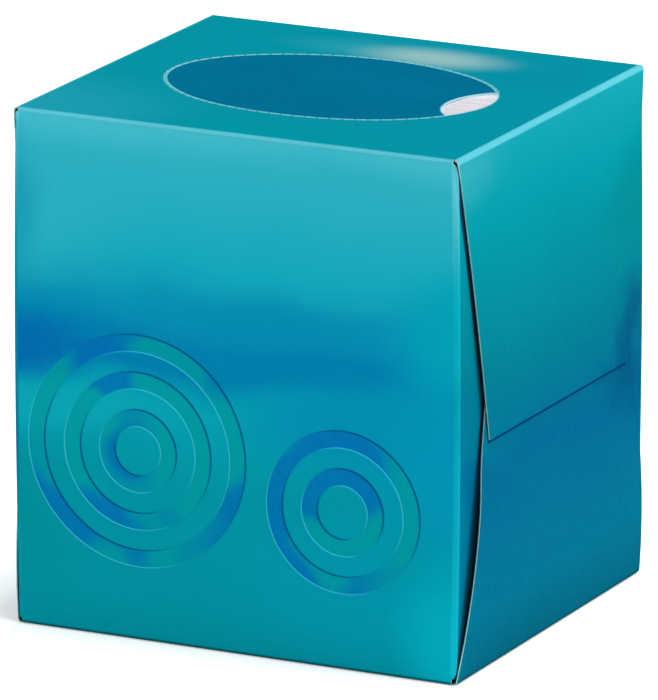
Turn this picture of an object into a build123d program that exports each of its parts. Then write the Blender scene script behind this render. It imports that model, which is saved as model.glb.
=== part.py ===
from build123d import *
from math import asin, atan2, degrees, pi
import os

# Cube carton of facial tissues, folded and glued from one printed sheet of board.
# Millimetres, origin at the bottom centre, +Z up, front panel at -Y. The tube of the carton runs
# along X, so its glued end closures are the left and right sides. The oval tear-out in the top
# panel is still held by its nicks. Every path below is the middle of the board's thickness.

# Carton, measured over its folds
box_width = 114.5
box_depth = 102.0
box_height = 125.0
board = 0.45
fold_radius = 0.95

# Manufacturer's joint: a glue flap inside the bottom panel, along the back edge
glue_flap_width = 16.0
glue_layer = 0.12
seam_glue_width = 9.0
seam_glue_end = 4.0

# End closures: the dust flaps fold a little inside the major flaps, which overlap at mid height
fold_step = 0.4
major_flap_lap = 13.0
major_flap_inset = 0.45
major_flap_taper = 12.9
upper_flap_lean = 3.3
upper_flap_bulge = 2.2
lower_flap_bulge = 2.6
lower_flap_crest_drop = 20.0
dust_flap_gap = 10.0
dust_flap_relief = 3.0
dust_relief_start = 0.15
dust_relief_end = 0.8
dust_flap_taper = 12.0
dust_flap_bow = 0.3

# Hot-melt beads between the two major flaps
lap_gap = 0.15
bead_clearance = 0.01
bead_width = 3.2
bead_length = 52.0
bead_pitch = 6.0

# Perforated oval in the top panel, with a thumb hole at its right end
oval_length = 82.0
oval_width = 58.0
perforation_pitch = 3.0
perforation_cut = 1.9
perforation_width = 0.32
thumb_hole_length = 25.0
thumb_hole_depth = 10.0
thumb_hole_shift = -1.5

# Film glued under the oval, with the slit that the tissues are drawn through
film_thickness = 0.06
film_margin = 8.0
slit_length = 62.0
slit_width = 0.6

# Embossed ripples on the front and back panels: the centre of each and the radii of its rings
ribbon_width = 4.6
emboss_height = 0.24
emboss_flank = 0.5
front_ripples = (
    ((-25.0, 46.0), (8.0, 17.0, 26.0)),
    ((28.0, 38.0), (8.5, 17.5)),
)
back_ripples = (
    ((26.0, 42.0), (9.0, 19.0)),
    ((-26.0, 52.0), (10.0,)),
)

# Clip of interfolded tissues, bent over into an arch whose sheets all have one length
clip_thickness = 30.0
clip_side_gap = 0.6
clip_panel_gap = 1.55
clip_head_room = 5.7
clip_foot = 6.0

# Places that follow from the sizes above
middle = board / 2
bend_radius = fold_radius - middle
fold_x = box_width / 2
dust_fold_x = fold_x - fold_step
wall_end = dust_fold_x - fold_radius
front = -box_depth / 2
back = box_depth / 2
major_flap_length = (box_height + major_flap_lap) / 2
dust_flap_length = (box_depth - dust_flap_gap) / 2
glue_flap_level = board + glue_layer
stack_floor = glue_flap_level + board
fold_half_width = box_depth / 2 - major_flap_inset
edge_half_width = box_depth / 2 - major_flap_taper
overrun = 2.0

os.makedirs("parts", exist_ok=True)

# Tube of four panels. The bottom panel's free edge lies under the back fold and the glue flap
with BuildPart() as tube:
    with BuildSketch(Plane.YZ.offset(-wall_end)):
        with BuildLine():
            FilletPolyline(
                (back, middle),
                (front + middle, middle),
                (front + middle, box_height - middle),
                (back - middle, box_height - middle),
                (back - middle, glue_flap_level + middle),
                (back - glue_flap_width, glue_flap_level + middle),
                radius=bend_radius,
            )
        trace(line_width=board)
    extrude(amount=2 * wall_end)


def taper_outline(fold_level, free_level):
    """Sketch a major flap seen from its end, running on past its fold and its free edge."""
    direction = 1 if free_level > fold_level else -1
    shrink = (fold_half_width - edge_half_width) / abs(free_level - fold_level)
    end_half_width = edge_half_width - overrun * shrink
    Polygon(
        (-fold_half_width, fold_level - direction * overrun),
        (fold_half_width, fold_level - direction * overrun),
        (fold_half_width, fold_level),
        (end_half_width, free_level + direction * overrun),
        (-end_half_width, free_level + direction * overrun),
        (-fold_half_width, fold_level),
        align=None,
    )


# Upper major flap: folds down from the top panel and leans out over the lower one
upper_free_level = box_height - major_flap_length
with BuildPart() as upper_flap:
    with BuildSketch(Plane.XZ):
        with BuildLine():
            stub = Line((wall_end, box_height - middle), (fold_x - fold_radius, box_height - middle))
            bend = JernArc(stub @ 1, stub % 1, bend_radius, upper_flap_lean - 90)
            upper_leaf = TangentArc(
                bend @ 1, (fold_x + upper_flap_bulge - middle, upper_free_level), tangent=bend % 1
            )
        trace(line_width=board)
    extrude(amount=box_depth / 2, both=True)
    with BuildSketch(Plane.YZ.offset(wall_end)):
        taper_outline(box_height - fold_radius, upper_free_level)
    extrude(amount=box_width, mode=Mode.INTERSECT)

# Where the lower flap runs under the upper one, parallel to it at the glue gap
under_upper = Vector(-board - lap_gap, 0)
lap_start = upper_leaf @ 1 + under_upper
lap_end = upper_leaf @ (1 - major_flap_lap / upper_leaf.length) + under_upper

# Lower major flap: folds up from the bottom panel, crests, and dips under the upper flap
crest = Vector(fold_x + lower_flap_bulge - middle, upper_free_level - lower_flap_crest_drop)
crest_lean = 2 * degrees(atan2(lower_flap_bulge, crest.Y - fold_radius))
dip_half_height = (lap_start.Y - crest.Y) / 2
lap_slope = (lap_start.X - lap_end.X) / major_flap_lap
dip_slope = (crest.X - lap_start.X) / dip_half_height - lap_slope / 2
inflection = crest + Vector(-dip_slope * dip_half_height / 2, dip_half_height)
with BuildPart() as lower_flap:
    with BuildSketch(Plane.XZ):
        with BuildLine():
            stub = Line((wall_end, middle), (fold_x - fold_radius, middle))
            bend = JernArc(stub @ 1, stub % 1, bend_radius, 90 - crest_lean)
            rise = TangentArc(bend @ 1, crest, tangent=bend % 1)
            fall = TangentArc(rise @ 1, inflection, tangent=rise % 1)
            dip = TangentArc(fall @ 1, lap_start, tangent=fall % 1)
            TangentArc(dip @ 1, lap_end, tangent=dip % 1)
        trace(line_width=board)
    extrude(amount=box_depth / 2, both=True)
    with BuildSketch(Plane.YZ.offset(wall_end)):
        taper_outline(fold_radius, major_flap_length)
    extrude(amount=box_width, mode=Mode.INTERSECT)

# Dust flap: folds in from the front panel. Its fold runs the panel's full straight height, and
# just round the fold its corners are cut back to make way for the major flaps
dust_edge = front + dust_flap_length
fold_low = glue_flap_level + fold_radius
fold_high = box_height - fold_radius
dust_low = dust_flap_relief
dust_high = box_height - dust_flap_relief
dust_lean = 2 * degrees(atan2(dust_flap_bow, dust_flap_length - fold_radius))
with BuildPart() as dust_flap:
    with BuildSketch():
        with BuildLine():
            bend = JernArc((wall_end, front + middle), (1, 0), bend_radius, 90 - dust_lean)
            TangentArc(bend @ 1, (dust_fold_x + dust_flap_bow - middle, dust_edge), tangent=bend % 1)
        trace(line_width=board)
    extrude(amount=box_height)
    with BuildSketch(Plane.YZ.offset(wall_end)):
        Polygon(
            (front - overrun, fold_low),
            (front + dust_relief_start, fold_low),
            (front + dust_relief_end, dust_low),
            (dust_edge + overrun, dust_low + dust_flap_taper),
            (dust_edge + overrun, dust_high - dust_flap_taper),
            (front + dust_relief_end, dust_high),
            (front + dust_relief_start, fold_high),
            (front - overrun, fold_high),
            align=None,
        )
    extrude(amount=box_width, mode=Mode.INTERSECT)


def ring_section(radius, outer_level, inner_level):
    """Sketch one side of a ring's section: a flat ribbon with sloped flanks, and what is behind it."""
    Polygon(
        (radius - ribbon_width / 2, inner_level),
        (radius - ribbon_width / 2, outer_level + emboss_height),
        (radius - ribbon_width / 2 + emboss_flank, outer_level),
        (radius + ribbon_width / 2 - emboss_flank, outer_level),
        (radius + ribbon_width / 2, outer_level + emboss_height),
        (radius + ribbon_width / 2, inner_level),
        align=None,
    )


# Perforation runs round the oval from one end of the thumb hole to the other
oval_x_radius = oval_length / 2
oval_y_radius = oval_width / 2
hole_high = thumb_hole_shift + thumb_hole_length / 2
hole_low = thumb_hole_shift - thumb_hole_length / 2
hole_high_angle = degrees(asin(hole_high / oval_y_radius))
hole_low_angle = degrees(asin(hole_low / oval_y_radius))
hole_arc = hole_high_angle - hole_low_angle
with BuildLine(Plane.XY.offset(box_height)) as oval:
    EllipticalCenterArc(
        (0, 0), oval_x_radius, oval_y_radius, hole_high_angle, arc_size=360 - hole_arc
    )
oval_path = oval.wires()[0]
perforation_count = round(oval_path.length / perforation_pitch)
perforation_places = []
for index in range(perforation_count):
    place = (index + 0.5) / perforation_count
    run = oval_path % place
    point = oval_path @ place
    perforation_places.append(Location((point.X, point.Y, 0), (0, 0, degrees(atan2(run.Y, run.X)))))

# Carton: one sheet of board with its folds, glued flaps, tear-out, thumb hole and embossing
with BuildPart() as carton:
    add(tube.part)
    add(upper_flap.part)
    add(lower_flap.part)
    add(dust_flap.part)
    add(mirror(dust_flap.part, about=Plane.XZ, mode=Mode.PRIVATE))
    for flap in (upper_flap, lower_flap, dust_flap):
        add(mirror(flap.part, about=Plane.YZ, mode=Mode.PRIVATE))
    add(Rotation(0, 0, 180) * dust_flap.part)
    with BuildSketch(Plane.XY.offset(box_height)):
        with BuildLine():
            rim = EllipticalCenterArc(
                (0, 0), oval_x_radius, oval_y_radius, hole_low_angle, arc_size=hole_arc
            )
            ThreePointArc(rim @ 1, (oval_x_radius - thumb_hole_depth, thumb_hole_shift), rim @ 0)
        make_face()
        with Locations(*perforation_places):
            Rectangle(perforation_cut, perforation_width)
    extrude(amount=-2 * board, mode=Mode.SUBTRACT)
    for panel_y, inward, ripples in ((front, 1, front_ripples), (back, -1, back_ripples)):
        for (ripple_x, ripple_z), radii in ripples:
            centre = (ripple_x, panel_y, ripple_z)
            ripple_axis = Axis(centre, (0, 1, 0))
            into_panel = Plane(origin=centre, x_dir=(inward, 0, 0), z_dir=(0, 0, 1))
            for radius in radii:
                with BuildSketch(into_panel):
                    ring_section(radius, -emboss_height, middle)
                revolve(axis=ripple_axis)
                with BuildSketch(into_panel):
                    ring_section(radius, board - emboss_height, 2 * board)
                revolve(axis=ripple_axis, mode=Mode.SUBTRACT)
carton.part.label = "carton"
export_step(carton.part, "parts/carton.step")

# Film: a plain rectangle cut from the roll, flat under the top panel
with BuildPart() as dispensing_film:
    with BuildSketch(Plane.XY.offset(box_height - board)):
        Rectangle(oval_length + 2 * film_margin, oval_width + 2 * film_margin)
        SlotOverall(slit_length, slit_width, mode=Mode.SUBTRACT)
    extrude(amount=-film_thickness)
dispensing_film.part.label = "dispensing_film"
export_step(dispensing_film.part, "parts/dispensing_film.step")

# Tissues: the outer sheets run further round the bend, so their ends hang higher
clip_outer = dust_fold_x - board - clip_side_gap
clip_inner = clip_outer - clip_thickness
clip_top = box_height - board - film_thickness - clip_head_room
arch_centre = clip_top - clip_outer
outer_end = stack_floor + pi / 2 * clip_thickness
with BuildPart() as tissue_stack:
    with BuildSketch(Plane.XZ):
        with BuildLine():
            over = ThreePointArc(
                (clip_outer, arch_centre), (0, arch_centre + clip_outer), (-clip_outer, arch_centre)
            )
            under = ThreePointArc(
                (-clip_inner, arch_centre), (0, arch_centre + clip_inner), (clip_inner, arch_centre)
            )
            Polyline(over @ 1, (-clip_outer, stack_floor), (-clip_inner, stack_floor), under @ 0)
            Polyline(under @ 1, (clip_inner, stack_floor), (clip_outer, stack_floor), over @ 0)
        make_face()
        for side in (-1, 1):
            Polygon(
                (side * (clip_inner + clip_foot), stack_floor),
                (side * clip_outer, stack_floor),
                (side * clip_outer, outer_end),
                align=None,
                mode=Mode.SUBTRACT,
            )
    extrude(amount=box_depth / 2 - board - clip_panel_gap, both=True)
tissue_stack.part.label = "tissue_stack"
export_step(tissue_stack.part, "parts/tissue_stack.step")

# Cold glue of the manufacturer's joint, between the bottom panel and the glue flap
with BuildPart() as seam_glue:
    with BuildSketch(Plane.XY.offset(board)):
        with Locations((0, back - glue_flap_width / 2)):
            Rectangle(2 * (wall_end - seam_glue_end), seam_glue_width)
    extrude(amount=glue_layer)
seam_glue.part.label = "seam_glue"
export_step(seam_glue.part, "parts/seam_glue.step")

# Hot-melt beads in the lap of the major flaps, at both ends
with BuildPart() as end_flap_glue:
    for shift in (-bead_pitch / 2, bead_pitch / 2):
        place = 1 - (major_flap_lap / 2 + shift) / upper_leaf.length
        run = upper_leaf % place
        inward = Vector(run.Y, -run.X)
        spot = upper_leaf @ place + inward * (board + lap_gap) / 2
        with BuildSketch(Plane.XZ):
            with Locations(Location((spot.X, spot.Y, 0), (0, 0, degrees(atan2(run.Y, run.X))))):
                Rectangle(bead_width, lap_gap - 2 * bead_clearance)
        extrude(amount=bead_length / 2, both=True)
    mirror(about=Plane.YZ)
end_flap_glue.part.label = "end_flap_glue"
export_step(end_flap_glue.part, "parts/end_flap_glue.step")
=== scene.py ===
from math import atan2, cos, hypot, pi, radians, sin

import bmesh
import bpy
import numpy as np
from mathutils import Matrix, Vector
from mathutils.geometry import delaunay_2d_cdt


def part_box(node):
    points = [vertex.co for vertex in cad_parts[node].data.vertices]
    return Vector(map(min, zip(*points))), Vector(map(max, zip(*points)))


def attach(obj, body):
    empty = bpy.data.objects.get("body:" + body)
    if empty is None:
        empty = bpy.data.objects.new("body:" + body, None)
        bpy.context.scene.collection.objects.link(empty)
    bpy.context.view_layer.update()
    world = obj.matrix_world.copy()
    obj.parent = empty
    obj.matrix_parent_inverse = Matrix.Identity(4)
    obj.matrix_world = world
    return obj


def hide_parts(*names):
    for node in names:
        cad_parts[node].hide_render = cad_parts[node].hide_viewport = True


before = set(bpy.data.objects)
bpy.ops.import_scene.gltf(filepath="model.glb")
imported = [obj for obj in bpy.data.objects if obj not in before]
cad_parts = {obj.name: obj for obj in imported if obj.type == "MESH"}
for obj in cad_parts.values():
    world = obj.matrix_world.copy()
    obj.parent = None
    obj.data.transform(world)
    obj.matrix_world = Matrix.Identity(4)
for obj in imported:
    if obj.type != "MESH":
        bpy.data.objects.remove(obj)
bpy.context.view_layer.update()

# Looks of the tissue box. Sizes are in millimetres as in the CAD, and become metres where a
# mesh is made. The carton is one sheet again: each leaf is laid out flat, as length along the
# board's section and width across it, cut into triangles there, and folded into place.
metre = 0.001

# The board, the tube of four panels and its glue flap
box_width = 114.5
box_depth = 102.0
box_height = 125.0
board = 0.45
fold_radius = 0.95
middle = board / 2
bend_radius = fold_radius - middle
fold_x = box_width / 2
dust_fold_inset = 0.4
dust_fold_x = fold_x - dust_fold_inset
wall_end = dust_fold_x - fold_radius
half_depth = box_depth / 2
flat_y = half_depth - fold_radius
glue_flap_width = 16.0
glue_thickness = 0.12
glue_flap_level = board + glue_thickness
fold_low = glue_flap_level + fold_radius
fold_high = box_height - fold_radius

# The end flaps: major ones that taper, lean and bulge, and dust flaps behind them
flap_lap = 13.0
flap_length = (box_height + flap_lap) / 2
major_side_gap = 0.45
major_taper = 12.9
fold_half_width = half_depth - major_side_gap
edge_half_width = half_depth - major_taper
upper_lean = 3.3
upper_bulge = 2.2
lower_bulge = 2.6
crest_drop = 20.0
lap_gap = 0.15
dust_length = 46.0
dust_relief = 3.0
dust_relief_start = 0.15
dust_relief_end = 0.8
dust_taper = 12.0
dust_taper_run = dust_length + 2.0
dust_bow = 0.3

# The painted shadow beside the major flaps' edges: how far the view runs in behind an edge for each
# millimetre of gap, and the shadow's width on the dust flap at some heights
sight_run = 2.03
gap_shadow_heights = (0, 6, 16, 25, 35, 44, 54, 73, 87, 101, 125)
gap_shadow_widths = (0.3, 0.3, 0.5, 0.6, 0.5, 0.4, 0.7, 1.6, 1.9, 1.9, 1.9)

# The tear-out with its slits and thumb hole, and the film under it
oval_radii = (41.0, 29.0)
slit_pitch = 3.0
slit_size = (1.9, 0.32)
# How far the painted highlight round each slit reaches
slit_highlight_reach = 0.36
thumb_length = 25.0
thumb_depth = 10.0
thumb_shift = -1.5
thumb_rim_growth = (1.09, 1.03)
film_size = (98.0, 74.0)
film_slit = (62.0, 0.6)
film_thickness = 0.06

# The embossed ribbons, and the painted highlight and painted shade along their rims: light on the rims that
# face a set direction, dark on those that face away
ribbon_half = 2.3
ribbon_flank = 0.5
rim_middle = 2.05
rim_line = (0.11, 0.26)
rim_light_facing = (-0.64, -0.77)
emboss_height = 0.24

# Rings of ribbon: X and Z of the centre, and the radius of the ribbon's middle line
front_rings = [(-25, 46, 8), (-25, 46, 17), (-25, 46, 26), (28, 38, 8.5), (28, 38, 17.5)]
back_rings = [(26, 42, 9), (26, 42, 19), (-26, 52, 10)]

# How finely the sheets are cut: the lattice's pitch, the rows over a fold and close beside it, the
# rows at the tube's ends, the guide lines across a ribbon, and the points along a ribbon and the oval
pitch = 2.8
fold_rows = 6
close_row = 0.4
next_row = 1.0
side_rows = (0, 0.5, 1.2, 2.4)
ribbon_lines = (-2.7, -2.3, -2.17, -1.93, -1.8, -1.4, 0, 1.4, 1.8, 1.93, 2.17, 2.3, 2.7)
ribbon_margin = 3.4
ribbon_pitch = 0.95
oval_points = 4001
thumb_points = 34
film_pitch = 1.6
weld_distance = 2e-6
sharp_angle = radians(38)

# How far the vertical folds bow out, the top panel sags and the front and back dip in, and how
# far from a fold's middle its wear and painted highlight reach
fold_bow = 0.7
top_sag = 0.35
panel_dent = 0.06
panel_ripple = 0.03
fold_wear_and_highlight_reach = 0.4
crease_line = (0.15, 0.75)

# The clip of tissues: its thickness and how much of that stands on the floor, how far its sheets
# stay inside its front and back, and how finely it is cut
clip_thickness = 30.0
clip_foot = 6.0
clip_inset = 0.75
clip_layers = 50
arch_steps = 72
leg_steps = 9
clip_spans = 10


class Track:
    """A path of straight runs and arcs in a plane, read by the length along it."""

    def __init__(self, place, heading):
        self.place = place
        self.heading = radians(heading)
        self.length = 0.0
        self.spans = []
        self.bends = []

    def go(self, length, curve=0.0):
        """Adds a straight run or an arc."""
        self.spans.append((self.length, self.place, self.heading, curve))
        x, y, heading = walk(self.place, self.heading, curve, length)
        self.place = (x, y)
        self.heading = heading
        self.length += length

    def turn(self, angle):
        """Adds a fold of so many degrees."""
        start = self.length
        arc = bend_radius * abs(radians(angle))
        self.go(arc, radians(angle) / arc)
        self.bends.append((start, self.length))

    def arc_to(self, x, y):
        """Adds the arc that leads on smoothly to a point."""
        chord = hypot(x - self.place[0], y - self.place[1])
        lean = atan2(y - self.place[1], x - self.place[0]) - self.heading
        lean = (lean + pi) % (2 * pi) - pi
        curve = 2 * sin(lean) / chord
        self.go(2 * lean / curve, curve)

    def at(self, along):
        """The points of the path and its headings at an array of lengths."""
        along = np.asarray(along, float)
        out = np.zeros((3,) + along.shape)
        for start, place, heading, curve in self.spans:
            later = along >= start - 1e-9
            out[:, later] = walk(place, heading, curve, along[later] - start)
        return out


def walk(place, heading, curve, length):
    """Where a run or an arc from a place leads to after a length."""
    if abs(curve) < 1e-9:
        return place[0] + length * cos(heading), place[1] + length * sin(heading), heading + 0 * length
    end = heading + curve * length
    x = place[0] + (np.sin(end) - sin(heading)) / curve
    y = place[1] - (np.cos(end) - cos(heading)) / curve
    return x, y, end


def smooth(value, low, high):
    """0 below low, 1 above high and an S-curve between them."""
    t = np.clip((value - low) / (high - low), 0, 1)
    return t * t * (3 - 2 * t)


def spread(low, high, step):
    """Evenly spaced numbers from low to high, both included."""
    return np.linspace(low, high, max(2, round((high - low) / step) + 1))


def inside(points, loop):
    """Which points lie inside a closed loop."""
    x, y = points[:, 0], points[:, 1]
    found = np.zeros(len(points), bool)
    for (x0, y0), (x1, y1) in zip(loop, np.roll(loop, -1, 0)):
        if y0 != y1:
            found ^= ((y0 > y) != (y1 > y)) & (x < (x1 - x0) * (y - y0) / (y1 - y0) + x0)
    return found


def triangulate(outline, holes, lines, points):
    """Triangles over the inside of an outline, without its holes, along closed guide lines."""
    vertices, edges = [], []
    for loop in [outline, *holes, *lines]:
        first = len(vertices)
        vertices += [tuple(p) for p in loop]
        edges += [(first + i, first + (i + 1) % len(loop)) for i in range(len(loop))]
    vertices += [tuple(p) for p in points]
    result = delaunay_2d_cdt([Vector(v) for v in vertices], edges, [], 0, 1e-5)
    flat = np.array([tuple(v) for v in result[0]], float)
    faces = np.array([f for f in result[2]], int)
    centres = flat[faces].mean(1)
    keep = inside(centres, np.array(outline))
    for hole in holes:
        keep &= ~inside(centres, np.array(hole))
    return flat, faces[keep]


def lattice(along, across, keep_off):
    """Points of a lattice that no test finds. Every other row is shifted a little, so that the
    triangles come out the same each time."""
    grid = np.array([(s, w + (i % 2) * 1e-3) for i, s in enumerate(along) for w in across])
    for test in keep_off:
        grid = grid[~test(grid)]
    return grid


class Mesh:
    """Vertices, faces, material numbers and point values of one piece."""

    def __init__(self):
        self.vertices, self.faces, self.slots = [], [], []
        self.values = {"fold": [], "ribbon": [], "rim": [], "cut": [], "back": [], "tuck": [], "lap": []}
        self.count = 0

    def add(self, vertices, faces, slots, **values):
        """Adds vertices with their values, and faces with their material numbers."""
        self.vertices.append(vertices)
        self.faces += [tuple(i + self.count for i in f) for f in faces]
        self.slots += list(slots)
        for name in self.values:
            self.values[name].append(np.broadcast_to(values.get(name, 0.0), len(vertices)))
        self.count += len(vertices)

    def piece(self, name, materials, weld=True):
        """The finished object, in metres."""
        mesh = bpy.data.meshes.new(name)
        mesh.from_pydata((np.concatenate(self.vertices) * metre).tolist(), [], self.faces)
        mesh.polygons.foreach_set("material_index", self.slots)
        mesh.polygons.foreach_set("use_smooth", [True] * len(self.faces))
        for label, arrays in self.values.items():
            layer = mesh.attributes.new(label, "FLOAT", "POINT")
            layer.data.foreach_set("value", np.concatenate(arrays).astype(np.float32))
        if weld:
            form = bmesh.new()
            form.from_mesh(mesh)
            bmesh.ops.remove_doubles(form, verts=form.verts, dist=weld_distance)
            form.to_mesh(mesh)
            form.free()
        mesh.set_sharp_from_angle(angle=sharp_angle)
        for material in materials:
            mesh.materials.append(material)
        thing = bpy.data.objects.new(name, mesh)
        bpy.context.scene.collection.objects.link(thing)
        return thing


def shell(mesh, flat, faces, centre, outward, thick, shared, slots=(0, 1, 2), mirrors=((1, 1),),
          **values):
    """Both faces of a sheet and its cut edges, with its mirror images in X and Y."""
    a, b, c = centre[faces[0]]
    if np.dot(np.cross(b - a, c - a), outward[faces[0][0]]) < 0:
        faces = faces[:, ::-1]
    count = len(flat)
    sides = np.concatenate([faces[:, [0, 1]], faces[:, [1, 2]], faces[:, [2, 0]]])
    keys = np.sort(sides, 1) @ np.array([count, 1])
    where, times = np.unique(keys, return_index=True, return_counts=True)[1:]
    border = sides[where[times == 1]]
    border = border[~shared(flat[border].mean(1))]
    walls = np.stack([border[:, 1], border[:, 0], border[:, 0] + count, border[:, 1] + count], 1)
    points = np.concatenate([centre + outward * thick / 2, centre - outward * thick / 2])
    every = faces.tolist() + (faces[:, ::-1] + count).tolist() + walls.tolist()
    numbers = [slots[0]] * len(faces) + [slots[1]] * len(faces) + [slots[2]] * len(walls)
    values = {name: np.concatenate([value, value]) for name, value in values.items()}
    values["back"] = np.repeat([0.0, 1.0], count)
    for x_sign, y_sign in mirrors:
        placed = bowed(points) * np.array([x_sign, y_sign, 1])
        turned = every if x_sign * y_sign > 0 else [f[::-1] for f in every]
        mesh.add(placed, turned, numbers, **values)


def bowed(points):
    """The vertical folds bow out at mid height, the top panel sags and the front and back dip in.
    Each smooth() says how far from an edge that starts and where it is full."""
    moved = points.copy()
    x, y, z = points.T
    t = np.clip((z - 1) / (box_height - 2), 0, 1)
    near_fold = smooth(np.abs(x), 38, 55) * (np.abs(x) < dust_fold_x + dust_bow + 0.01)
    moved[:, 0] += np.sign(x) * fold_bow * 4 * t * (1 - t) * near_fold
    rim = smooth(fold_x - np.abs(x), 3, 40) * smooth(half_depth - np.abs(y), 2, 34)
    moved[:, 2] -= top_sag * rim * (z > box_height - 2)
    panel = smooth(fold_x - np.abs(x), 3, 40) * smooth(z, 2, 30) * smooth(box_height - z, 2, 30)
    dent = panel_dent + panel_ripple * np.sin(x / 13 + 1) * np.cos(z / 17)
    moved[:, 1] -= np.sign(y) * dent * panel * (np.abs(y) > half_depth - 2)
    return moved


# Paths of the board's middle: the tube's four panels, and the flaps of its right end
tube = Track((half_depth, middle), 180)
tube.go(half_depth + flat_y)
tube.turn(-90)
front_start = tube.length
tube.go(box_height - 2 * fold_radius)
tube.turn(-90)
top_start = tube.length
tube.go(2 * flat_y)
tube.turn(-90)
back_start = tube.length
tube.go(box_height - fold_radius - glue_flap_level - fold_radius)
tube.turn(-90)
tube.go(glue_flap_width - fold_radius)

upper = Track((wall_end, box_height - middle), 0)
upper.go(fold_x - fold_radius - wall_end)
upper.turn(upper_lean - 90)
upper_free = box_height - flap_length
upper.arc_to(fold_x + upper_bulge - middle, upper_free)

lap_low = np.array(upper.place) - (board + lap_gap, 0)
lap_high = upper.at([upper.length - flap_lap])[:2, 0] - (board + lap_gap, 0)
crest = np.array((fold_x + lower_bulge - middle, upper_free - crest_drop))
crest_lean = 2 * atan2(lower_bulge, crest[1] - fold_radius) / radians(1)
half_dip = (lap_low[1] - crest[1]) / 2
lap_slope = (lap_low[0] - lap_high[0]) / flap_lap
dip_slope = (crest[0] - lap_low[0]) / half_dip - lap_slope / 2
lower = Track((wall_end, middle), 0)
lower.go(fold_x - fold_radius - wall_end)
lower.turn(90 - crest_lean)
for place in (crest, crest + (-dip_slope * half_dip / 2, half_dip), lap_low, lap_high):
    lower.arc_to(*place)

dust_edge = dust_length - half_depth
dust_lean = 2 * atan2(dust_bow, dust_length - fold_radius) / radians(1)
dust = Track((wall_end, middle - half_depth), 0)
dust.turn(90 - dust_lean)
dust.arc_to(dust_fold_x + dust_bow - middle, dust_edge)


def close_ended(low, high):
    """Evenly spaced numbers, with two more close to each end."""
    run = spread(low + next_row, high - next_row, pitch)
    return np.concatenate([[low, low + close_row], run, [high - close_row, high]])


def rows(track, low, high, bends):
    """Lengths along a track: rows over each bend, some close beside it, and the lattice."""
    marks = [low, high]
    for start, end in bends:
        marks += list(np.linspace(start, end, fold_rows + 1))
        marks += [start - next_row, start - close_row, end + close_row, end + next_row]
    marks = sorted(m for m in marks if low <= m <= high)
    found = []
    for a, b in zip(marks, marks[1:]):
        found += list(spread(a, b, pitch))[:-1] if b - a > 1.5 * pitch else [a]
    return np.array(found + [high])


def gap_shadow_depth(outer):
    """How far, in Y, points of a dust flap lie inside the painted shadow beside a major flap's edge."""
    x, y, z = outer.T
    x, y = np.abs(x), np.abs(y)
    depths = []
    flaps = ((upper, fold_high, upper_free), (lower, fold_radius, flap_length))
    for track, fold_level, free_level in flaps:
        along = np.linspace(0, track.length, 80)
        levels, cover = track.at(along)[1], track.at(along)[0] - middle
        order = np.argsort(levels)
        gap = np.maximum(np.interp(z, levels[order], cover[order]) - x, 0)
        share = np.clip((z - fold_level) / (free_level - fold_level), 0, 1)
        edge = fold_half_width + (edge_half_width - fold_half_width) * share
        depths.append(edge - y - sight_run * gap)
    return np.maximum(*depths) + np.interp(z, gap_shadow_heights, gap_shadow_widths)


def fold_wear_and_highlight(distance):
    """1 on a fold, fading to 0 close beside it."""
    return np.clip(1 - distance / fold_wear_and_highlight_reach, 0, 1)


def from_bends(along, bends):
    """Distance along a sheet from the nearest bend."""
    gaps = [np.maximum(0, np.maximum(start - along, along - end)) for start, end in bends]
    return np.min(gaps, 0)


def oval_point(angles):
    """Points on the tear-out's line."""
    return np.stack([oval_radii[0] * np.cos(angles), oval_radii[1] * np.sin(angles)], 1)


def thumb_angles():
    """The angles on the oval between which the thumb hole lies."""
    return [np.arcsin((thumb_shift + side * thumb_length / 2) / oval_radii[1]) for side in (-1, 1)]


def perforation():
    """Centres and headings of the slits round the oval, from one end of the thumb hole on."""
    low, high = thumb_angles()
    angles = np.linspace(high, low + 2 * pi, oval_points)
    x, y = oval_point(angles).T
    steps = np.concatenate([[0], np.cumsum(np.hypot(np.diff(x), np.diff(y)))])
    count = round(steps[-1] / slit_pitch)
    at = np.interp((np.arange(count) + 0.5) / count * steps[-1], steps, angles)
    x, y = oval_point(at).T
    return x, y, np.arctan2(oval_radii[1] * np.cos(at), -oval_radii[0] * np.sin(at))


def thumb_outline():
    """The thumb hole: the oval's rim on its right, and a shallow arc on its left."""
    low, high = thumb_angles()
    rim = oval_point(np.linspace(low, high, thumb_points))
    first, last, mid = rim[0], rim[-1], np.array([oval_radii[0] - thumb_depth, thumb_shift])
    rise = (first + last) / 2 - mid
    bow = (hypot(*(last - first)) ** 2 / 4 + hypot(*rise) ** 2) / (2 * hypot(*rise))
    centre = mid + rise / hypot(*rise) * bow
    start = atan2(*(last - centre)[::-1])
    end = atan2(*(first - centre)[::-1]) % (2 * pi)
    angles = np.linspace(start, end, thumb_points)[1:-1]
    arc = centre + bow * np.stack([np.cos(angles), np.sin(angles)], 1)
    return np.concatenate([rim, arc])


def ring_loops(centre, radius):
    """Closed guide lines across one embossed ring."""
    angles = np.linspace(0, 2 * pi, round(2 * pi * radius / ribbon_pitch), endpoint=False)
    around = np.stack([np.cos(angles), np.sin(angles)], 1)
    return [centre + (radius + offset) * around for offset in ribbon_lines]


def slit_loop(x, y, turned, grow):
    """A slit's outline, made larger by a margin."""
    a, b = slit_size[0] / 2 + grow, slit_size[1] / 2 + grow
    corners = np.array([(-a, -b), (0, -b), (a, -b), (a, b), (0, b), (-a, b)])
    turn = np.array([[np.cos(turned), np.sin(turned)], [-np.sin(turned), np.cos(turned)]])
    return corners @ turn + (x, y)


def tube_rings():
    """Centres of the embossed rings, by length along the tube and width across it, and radii."""
    rings = [((front_start + z - fold_radius, x), r) for x, z, r in front_rings]
    rings += [((back_start + box_height - fold_radius - z, x), r) for x, z, r in back_rings]
    return rings


def to_top(loop):
    """A loop of X and Y on the top panel, by length along the tube and width across it."""
    return np.stack([top_start + loop[:, 1] + flat_y, loop[:, 0]], 1)


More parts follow.
